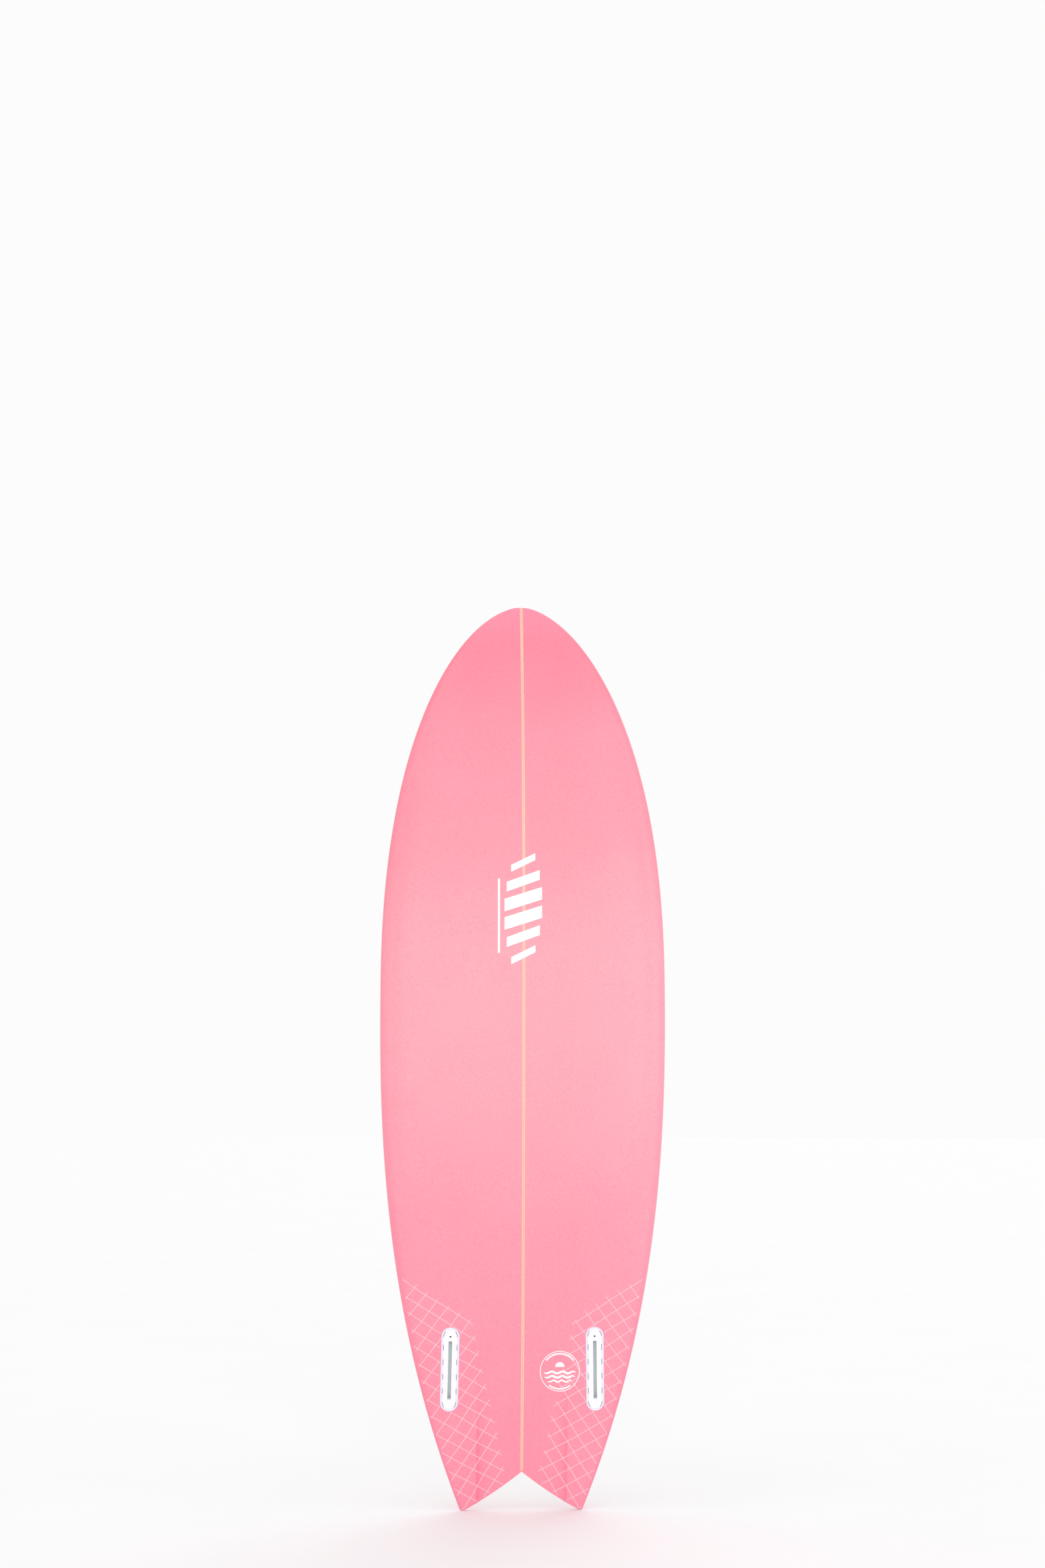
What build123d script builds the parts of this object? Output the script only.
from build123d import *
import math
import os

os.makedirs("parts", exist_ok=True)

# A swallow-tail twin-fin shortboard, standing on its two tail tips.
# X is across the board, Z runs up to the nose, and the bottom faces -Y.
# The pieces are drawn with the flat of the bottom at y = 0 and centred when they are written.

# ---- driving dimensions, mm ----
LENGTH = 1636.0          # tail tips to nose, measured straight
WIDTH = 514.0
THICKNESS = 60.0
WIDE_POINT = 915.0       # height of the widest section
TAIL_HALF_WIDTH = 107.5  # where the rail lines reach z = 0, before the tips are rounded

NOSE_ROCKER = 118.0
TAIL_ROCKER = 50.0
FLAT_POINT = 736.0       # height where the bottom line is parallel to Z
NOSE_THICKNESS = 12.0
TAIL_THICKNESS = 14.0
THICK_POINT = 818.0
NOSE_ROUNDING = 8.0      # how far from the tip the nose edge is rounded
TAIL_CURVE = 2.47        # powers of the outline's curves
NOSE_CURVE = 2.24
NOSE_BLUNTNESS = 0.567
TAIL_ROCKER_CURVE = 2.2  # powers of the side view's curves
NOSE_ROCKER_CURVE = 2.8
TAIL_TAPER = 2.2
NOSE_TAPER = 2.6
BOTTOM_FULLNESS = 9.0    # powers of the section curves: high is flat, 2 is an ellipse
DECK_FULLNESS = 2.6
RAIL_HEIGHT = 0.42       # share of the thickness below the rail's widest point
TAIL_RAIL_DROP = 0.14    # how much lower that share is at the tail
RAIL_DROP_TOP = 500.0    # height where the drop has run out

NOTCH_DEPTH = 67.0       # height of the swallow-tail crack
NOTCH_SLOPE = 0.787      # fall of the tail's edge at the crack, for each unit across
NOTCH_BOW = 0.0013       # how fast the edge flattens out
NOTCH_LIFT = 1.25        # rise of the edge for each unit of inset
TIP_RADIUS = 6.0
CRACK_RADIUS = 2.0

CHANNEL_HALF_WIDTH = 80.0
CHANNEL_DEPTH = 3.0      # at the tail
CHANNEL_SLANT = 3.0      # run of its side walls for each unit of depth
CHANNEL_TOP = 300.0      # height where the channel has run out

SKIN = 0.8               # cured glass and resin
LAP = 40.0               # how far the bottom skin wraps on to the deck
TAIL_SKIN_TOP = 118.0    # the bottom skin's tail is a piece of its own up to here
TAIL_FOAM_TOP = 330.0    # and so is the tail of each foam half
STRINGER_WIDTH = 5.0
RESIN = 0.8              # resin round a fin box or a plug

BOX_LENGTH = 144.5
BOX_WIDTH = 30.0
BOX_DEPTH = 18.5
BOX_SPLIT = 12.0         # depth where the housing meets its base
BOX_X = 128.0
BOX_Z = 245.0
BOX_TOE = 0.95           # degrees, nose ends towards the stringer

SLOT_LENGTH = 101.0
SLOT_WIDTH = 6.2
SLOT_DEPTH = 15.5
SLOT_OFFSET = -1.75      # slot centre from box centre, towards the nose
DASH_LENGTH = 10.4       # the slits round the edge of the box face
DASH_WIDTH = 1.1
DASH_DEPTH = 1.5
DASH_INSET = 3.0
DASH_PITCH = 25.3
DASH_ARC = 46.0          # degrees of each curved slit
DASH_ARC_START = 46.0    # degrees from the box's long axis

GAP = 0.3                # between a moving piece and a face that it passes
ROLLER_RADIUS = 2.25
ROLLER_LENGTH = 12.0
ROLLER_DEPTH = 8.0
ROLLER_PROUD = 1.65      # how far the roller stands into the slot
CHAMBER_LENGTH = 10.5    # behind the slot's tail end
SPRING_RADIUS = 1.6
SPRING_WIRE = 0.45
SPRING_TURNS = 4.0

SCREW_RADIUS = 1.5
SCREW_LENGTH = 8.0
SCREW_RECESS = 2.5       # depth of the screw's head below the face
SCREW_END = 15.5         # screw centre from the nose end of the box
SCREW_CLEARANCE = 0.06
SOCKET_RADIUS = 0.87     # across the corners of the hexagon
SOCKET_DEPTH = 2.0
HOOK_LENGTH = 12.0       # pocket for a fin's hook, past the slot's nose end
HOOK_HEIGHT = 4.0

CUP_X = 21.0
CUP_Z = 146.0
CUP_RADIUS = 13.0
CUP_DEPTH = 17.0
CUP_FLANGE_RADIUS = 14.0
CUP_FLANGE = 2.0
CUP_BORE = 10.0
CUP_FLOOR = 3.0
BAR_RADIUS = 2.0
BAR_LENGTH = 24.0
BAR_DEPTH = 5.0

SECTIONS = 20
SECTION_SPACING = 3.0    # power that draws the sections together towards the nose
QUARTER_POINTS = 10
TIP_BLEND = 60.0         # the rail's curve runs free of the sections this far above the tips
PROUD = 3.0              # how far a cutting tool starts outside the surface
OVERRUN = 25.0           # how far a cutting block passes the ends of the board
BLOCK_DEPTH = 400.0      # such a block through the board's thickness
BLOCK_Y = 100.0          # and its middle


# ---- lines of the board ----
def half_width(z, inset=0.0):
    """Half the width at height z, for the outline drawn in by an inset."""
    if z < WIDE_POINT:
        share = (WIDE_POINT - z) / WIDE_POINT
        return WIDTH / 2 - (WIDTH / 2 - TAIL_HALF_WIDTH) * share**TAIL_CURVE - inset
    share = min(1.0, (z - WIDE_POINT) / (LENGTH - inset - WIDE_POINT))
    return (WIDTH / 2 - inset) * (1 - share**NOSE_CURVE) ** NOSE_BLUNTNESS


def bottom_line(z):
    """Y of the bottom along the stringer."""
    if z < FLAT_POINT:
        return TAIL_ROCKER * ((FLAT_POINT - z) / FLAT_POINT) ** TAIL_ROCKER_CURVE
    return NOSE_ROCKER * ((z - FLAT_POINT) / (LENGTH - FLAT_POINT)) ** NOSE_ROCKER_CURVE


def thickness(z):
    """Thickness along the stringer."""
    if z < THICK_POINT:
        share = (THICK_POINT - z) / THICK_POINT
        return THICKNESS - (THICKNESS - TAIL_THICKNESS) * share**TAIL_TAPER
    share = (z - THICK_POINT) / (LENGTH - THICK_POINT)
    return THICKNESS - (THICKNESS - NOSE_THICKNESS) * share**NOSE_TAPER


def section_levels(z, inset):
    """Y of the bottom, of the rail's widest point and of the deck at height z."""
    nose_share = min(1.0, (LENGTH - inset - z) / NOSE_ROUNDING)
    full = thickness(z) - 2 * inset
    thick = full * math.sqrt(1 - (1 - nose_share) ** 2)
    low = bottom_line(z) + inset + (full - thick) / 2
    apex_share = RAIL_HEIGHT - TAIL_RAIL_DROP * max(0.0, 1 - z / RAIL_DROP_TOP)
    return low, low + apex_share * thick, low + thick


def bottom_y(across, z, inset=0.0):
    """Y of the bottom at a share of the half width."""
    low, apex, high = section_levels(z, inset)
    return apex - (apex - low) * (1 - across**BOTTOM_FULLNESS) ** 0.5


def deck_y(across, z, inset=0.0):
    """Y of the deck at a share of the half width."""
    low, apex, high = section_levels(z, inset)
    return apex + (high - apex) * (1 - across**DECK_FULLNESS) ** 0.62


def heights(inset):
    """Heights of the sections, close together at both ends."""
    shares = [math.sin(math.pi / 2 * step / SECTIONS) for step in range(SECTIONS, 0, -1)]
    reach = LENGTH - inset + OVERRUN
    return [LENGTH - inset - reach * share**SECTION_SPACING for share in shares]


def section_wire(z, inset):
    """The outline across the board at height z, as one curve for the bottom and one for the deck."""
    steps = range(-QUARTER_POINTS, QUARTER_POINTS + 1)
    shares = [math.sin(math.pi / 2 * step / QUARTER_POINTS) for step in steps]
    wide = half_width(z, inset)
    bottom = [Vector(wide * share, bottom_y(abs(share), z, inset), z) for share in shares]
    deck = [Vector(wide * share, deck_y(abs(share), z, inset), z) for share in reversed(shares)]
    return Wire([Spline(bottom), Spline(deck)])


# ---- plan view ----
def notch_height(x, inset):
    """Height of the swallow tail's edge at a distance x from the stringer."""
    return NOTCH_DEPTH - NOTCH_SLOPE * x + NOTCH_BOW * x**2 + NOTCH_LIFT * inset


def planform_prism(inset, margin=0.0):
    """The plan view drawn in by an inset, as an upright prism. A margin moves only the rails out."""
    corner = TAIL_HALF_WIDTH
    for _ in range(20):
        corner = half_width(notch_height(corner, inset), inset) + margin
    foot = notch_height(corner, inset)
    edge = [Vector(share * corner, notch_height(share * corner, inset)) for share in (0, 1 / 3, 2 / 3, 1)]
    rail = [Vector(half_width(z, inset) + margin, z) for z in heights(inset) if z > foot + TIP_BLEND]
    tip = Vector(0, LENGTH - inset + margin)
    flare = half_width(foot + 1, inset) - half_width(foot, inset)
    right = [Spline(edge), Spline([edge[-1]] + rail + [tip], tangents=[(flare, 1), (-1, 0)])]
    face = make_face(Curve() + right + [mirror(line, about=Plane.YZ) for line in right])
    tips = [v for v in face.vertices() if v.Y < foot + 1]
    face = fillet(tips, TIP_RADIUS)
    crack = [v for v in face.vertices() if abs(v.X) < 0.1 and v.Y < WIDE_POINT]
    face = fillet(crack, CRACK_RADIUS)
    return Pos(0, BLOCK_Y + BLOCK_DEPTH / 2, 0) * extrude(Plane.XZ * face, amount=BLOCK_DEPTH)


# ---- solids of the board ----
def channel(inset):
    """The shallow hollow between two creases, which deepens to the tail."""
    sections = []
    for share in (-0.1, 0, 0.2, 0.4, 0.6, 0.8, 1):
        z = share * CHANNEL_TOP
        depth = CHANNEL_DEPTH * (1 - max(0, share))
        floor = bottom_line(z) + depth + inset
        mouth = floor - depth - PROUD
        narrow = CHANNEL_HALF_WIDTH + inset - CHANNEL_SLANT * depth
        wide = CHANNEL_HALF_WIDTH + inset + CHANNEL_SLANT * PROUD
        corners = [(-narrow, floor), (narrow, floor), (wide, mouth), (-wide, mouth)]
        sections.append(Wire.make_polygon([Vector(x, y, z) for x, y in corners]))
    return Solid.make_loft(sections, ruled=True)


def board_body(inset):
    """The shape of the whole board, drawn in by an inset."""
    rounded = Solid.make_loft([section_wire(z, inset) for z in heights(inset)])
    return (rounded & planform_prism(inset, 0.5)) - channel(inset)


def deck_zone():
    """The space inside the lap line, on the deck side of the board's middle."""
    span = LENGTH + 2 * OVERRUN
    levels = [span * step / 6 - OVERRUN for step in range(7)]
    middle = [(bottom_line(z) + thickness(z) / 2, z) for z in levels]
    back = BLOCK_Y + BLOCK_DEPTH / 2
    side = [Spline([Vector(y, z) for y, z in middle])]
    side.append(Polyline(middle[-1], (back, levels[-1]), (back, levels[0]), middle[0]))
    upper = Pos(-WIDTH, 0, 0) * extrude(Plane.YZ * make_face(side), amount=2 * WIDTH)
    return planform_prism(LAP) & upper


# ---- a fin box, in its own frame: y is the depth below the board's face, z points to the nose ----
def plan_slot(length, width, x=0.0, z=0.0):
    """A round-ended outline along z."""
    return Pos(x, z) * Rot(0, 0, 90) * SlotOverall(length, width)


def plan_block(width, low, high):
    """A square-ended outline across x, between two values of z."""
    return Pos(0, (low + high) / 2) * Rectangle(width, high - low)


def sunk(outline, start, end):
    """A plan outline filled between two depths."""
    return Pos(0, end, 0) * extrude(Plane.XZ * outline, amount=end - start)


SLOT_TAIL = SLOT_OFFSET - SLOT_LENGTH / 2
SLOT_NOSE = SLOT_OFFSET + SLOT_LENGTH / 2
CHAMBER_TAIL = SLOT_TAIL - CHAMBER_LENGTH
ROLLER_Z = SLOT_TAIL + ROLLER_PROUD - ROLLER_RADIUS
SCREW_Z = BOX_LENGTH / 2 - SCREW_END
BOX_SLOPE = math.degrees(math.atan(bottom_line(BOX_Z - 0.5) - bottom_line(BOX_Z + 0.5)))
BOX_PLACE = Location((BOX_X, bottom_y(BOX_X / half_width(BOX_Z), BOX_Z), BOX_Z), (BOX_SLOPE, -BOX_TOE, 0))


def slot_space():
    """Where a fin's base goes, with the pocket that its hook slides into."""
    slot = sunk(plan_block(SLOT_WIDTH, SLOT_TAIL, SLOT_NOSE), -PROUD, SLOT_DEPTH)
    hook = sunk(plan_block(SLOT_WIDTH, SLOT_NOSE - 1, SLOT_NOSE + HOOK_LENGTH), SLOT_DEPTH - HOOK_HEIGHT, SLOT_DEPTH)
    return slot + hook


def face_slits():
    """The slits round the edge of the face: four straight ones a side and a curved pair at each end."""
    straight = BOX_WIDTH / 2 - DASH_INSET
    slits = []
    for side in (-1, 1):
        for row in range(4):
            outline = plan_slot(DASH_LENGTH, DASH_WIDTH, side * straight, (row - 1.5) * DASH_PITCH)
            slits.append(sunk(outline, -PROUD, DASH_DEPTH))
        for end in (-1, 1):
            start = 90 - side * DASH_ARC_START if end > 0 else 270 + side * DASH_ARC_START
            centre = (0, end * (BOX_LENGTH - BOX_WIDTH) / 2)
            arc = CenterArc(centre, straight, start, -end * side * DASH_ARC)
            slits.append(sunk(SlotArc(arc, DASH_WIDTH), -PROUD, DASH_DEPTH))
    return slits


def fin_box():
    """The housing, seen at the board's face."""
    housing = sunk(plan_slot(BOX_LENGTH, BOX_WIDTH), -PROUD, BOX_SPLIT)
    groove = SLOT_TAIL + ROLLER_PROUD + GAP
    roller_top = ROLLER_DEPTH - ROLLER_RADIUS - GAP
    chamber = sunk(plan_block(ROLLER_LENGTH + 2 * GAP, CHAMBER_TAIL, groove), roller_top, BOX_SPLIT)
    bore = Pos(0, 0, SCREW_Z) * Rot(-90, 0, 0) * Cylinder(SCREW_RADIUS + SCREW_CLEARANCE, 3 * BOX_SPLIT)
    housing -= [slot_space(), chamber, bore]
    return housing - face_slits()


def fin_box_base():
    """The lower shell, with a pad that keeps the roller at its depth."""
    base = sunk(plan_slot(BOX_LENGTH, BOX_WIDTH), BOX_SPLIT, BOX_DEPTH)
    pad_top = ROLLER_DEPTH + ROLLER_RADIUS + GAP
    pad = sunk(plan_block(ROLLER_LENGTH, CHAMBER_TAIL + GAP, SLOT_TAIL), pad_top, BOX_SPLIT)
    return base + pad - slot_space()


def fin_box_resin():
    """The resin between the box and the foam."""
    outline = plan_slot(BOX_LENGTH + 2 * RESIN, BOX_WIDTH + 2 * RESIN)
    return sunk(outline, -PROUD, BOX_DEPTH + RESIN) - sunk(plan_slot(BOX_LENGTH, BOX_WIDTH), -PROUD, BOX_DEPTH)


def fin_roller():
    """The barrel that holds a fin's rear tab."""
    roller = Pos(0, ROLLER_DEPTH, ROLLER_Z) * Rot(0, 90, 0) * Cylinder(ROLLER_RADIUS, ROLLER_LENGTH)
    return chamfer(roller.edges().filter_by(GeomType.CIRCLE), 0.3)


def roller_spring():
    """The coil that pushes the roller towards the nose."""
    low = CHAMBER_TAIL + SPRING_WIRE
    height = ROLLER_Z - ROLLER_RADIUS - SPRING_WIRE - low
    path = Helix(height / SPRING_TURNS, height, SPRING_RADIUS)
    wire = sweep(Plane(path @ 0, z_dir=path % 0) * Circle(SPRING_WIRE / 2), path=path)
    return Pos(0, ROLLER_DEPTH, low) * wire


def fin_screw():
    """The set screw that bears on a fin's hook."""
    screw = Cylinder(SCREW_RADIUS, SCREW_LENGTH, align=(Align.CENTER, Align.CENTER, Align.MIN))
    screw -= extrude(RegularPolygon(SOCKET_RADIUS, 6), amount=SOCKET_DEPTH)
    screw = chamfer(screw.edges().filter_by(GeomType.CIRCLE), 0.3)
    return Pos(0, SCREW_RECESS, SCREW_Z) * Rot(-90, 0, 0) * screw


# ---- leash plug, in its own frame: y is the depth below the deck ----
CUP_ACROSS = CUP_X / half_width(CUP_Z)
CUP_SLOPE = math.degrees(math.atan(deck_y(CUP_ACROSS, CUP_Z - 0.5) - deck_y(CUP_ACROSS, CUP_Z + 0.5)))
CUP_PLACE = Location((CUP_X, deck_y(CUP_ACROSS, CUP_Z), CUP_Z), (CUP_SLOPE, 0, 180))


def bar_shape(length):
    return Pos(0, BAR_DEPTH, 0) * Rot(0, 90, 0) * Cylinder(BAR_RADIUS, length)


def cup_outside():
    return sunk(Circle(CUP_FLANGE_RADIUS), -PROUD, CUP_FLANGE) + sunk(Circle(CUP_RADIUS), CUP_FLANGE, CUP_DEPTH)


def leash_cup():
    """The cup, open to the deck, with holes for its bar."""
    return cup_outside() - sunk(Circle(CUP_BORE), -PROUD, CUP_DEPTH - CUP_FLOOR) - bar_shape(BAR_LENGTH)


def leash_cup_resin():
    """The resin between the cup and the foam."""
    return sunk(Circle(CUP_RADIUS + RESIN), CUP_FLANGE, CUP_DEPTH + RESIN) - sunk(Circle(CUP_RADIUS), 0, CUP_DEPTH)


# ---- the whole board ----
outside = board_body(0)
foam = board_body(SKIN)
skin = outside - foam
lapped = deck_zone()

box_pocket = BOX_PLACE * sunk(plan_slot(BOX_LENGTH + 2 * RESIN, BOX_WIDTH + 2 * RESIN), -PROUD, BOX_DEPTH + RESIN)
box_pockets = [box_pocket, mirror(box_pocket, about=Plane.YZ)]
cup_pocket = CUP_PLACE * (cup_outside() + sunk(Circle(CUP_RADIUS + RESIN), CUP_FLANGE, CUP_DEPTH + RESIN))

half = WIDTH / 2 + OVERRUN
tall = LENGTH + 2 * OVERRUN
side_block = Pos(STRINGER_WIDTH / 2 + half / 2, BLOCK_Y, LENGTH / 2) * Box(half, BLOCK_DEPTH, tall)
core = Pos(0, BLOCK_Y, LENGTH / 2) * Box(STRINGER_WIDTH, BLOCK_DEPTH, tall)


def tail_block(top):
    """All the space from below the tail up to a height."""
    block_tall = top + OVERRUN
    return Pos(0, BLOCK_Y, top - block_tall / 2) * Box(2 * half, BLOCK_DEPTH, block_tall)


skin_tail = tail_block(TAIL_SKIN_TOP)
foam_tail = tail_block(TAIL_FOAM_TOP)
bottom_skin = skin - lapped
right_foam = (foam & side_block) - box_pocket - cup_pocket
left_foam = (foam & mirror(side_block, about=Plane.YZ)) - box_pockets[1]

pieces = {
    "stringer": foam & core,
    "foam_right": right_foam - foam_tail,
    "foam_left": left_foam - foam_tail,
    "foam_tail_right": right_foam & foam_tail,
    "foam_tail_left": left_foam & foam_tail,
    "bottom_laminate": bottom_skin - skin_tail - box_pockets,
    "tail_laminate": bottom_skin & skin_tail,
    "deck_laminate": (skin & lapped) - cup_pocket,
    "leash_cup": (CUP_PLACE * leash_cup()) & outside,
    "leash_bar": CUP_PLACE * bar_shape(BAR_LENGTH),
    "leash_cup_resin": CUP_PLACE * leash_cup_resin(),
}

box_pieces = {
    "fin_box": (BOX_PLACE * fin_box()) & outside,
    "fin_box_base": BOX_PLACE * fin_box_base(),
    "fin_box_resin": (BOX_PLACE * fin_box_resin()) & outside,
    "fin_roller": BOX_PLACE * fin_roller(),
    "roller_spring": BOX_PLACE * roller_spring(),
    "fin_screw": BOX_PLACE * fin_screw(),
}
for name, piece in box_pieces.items():
    pieces[name + "_right"] = piece
    pieces[name + "_left"] = mirror(piece, about=Plane.YZ)

bounds = outside.bounding_box()
centred = Pos(0, -bounds.center().Y, -bounds.min.Z)
for name, piece in pieces.items():
    export_step(centred * piece, f"parts/{name}.step")

print("outside", bounds, "volume", outside.volume)
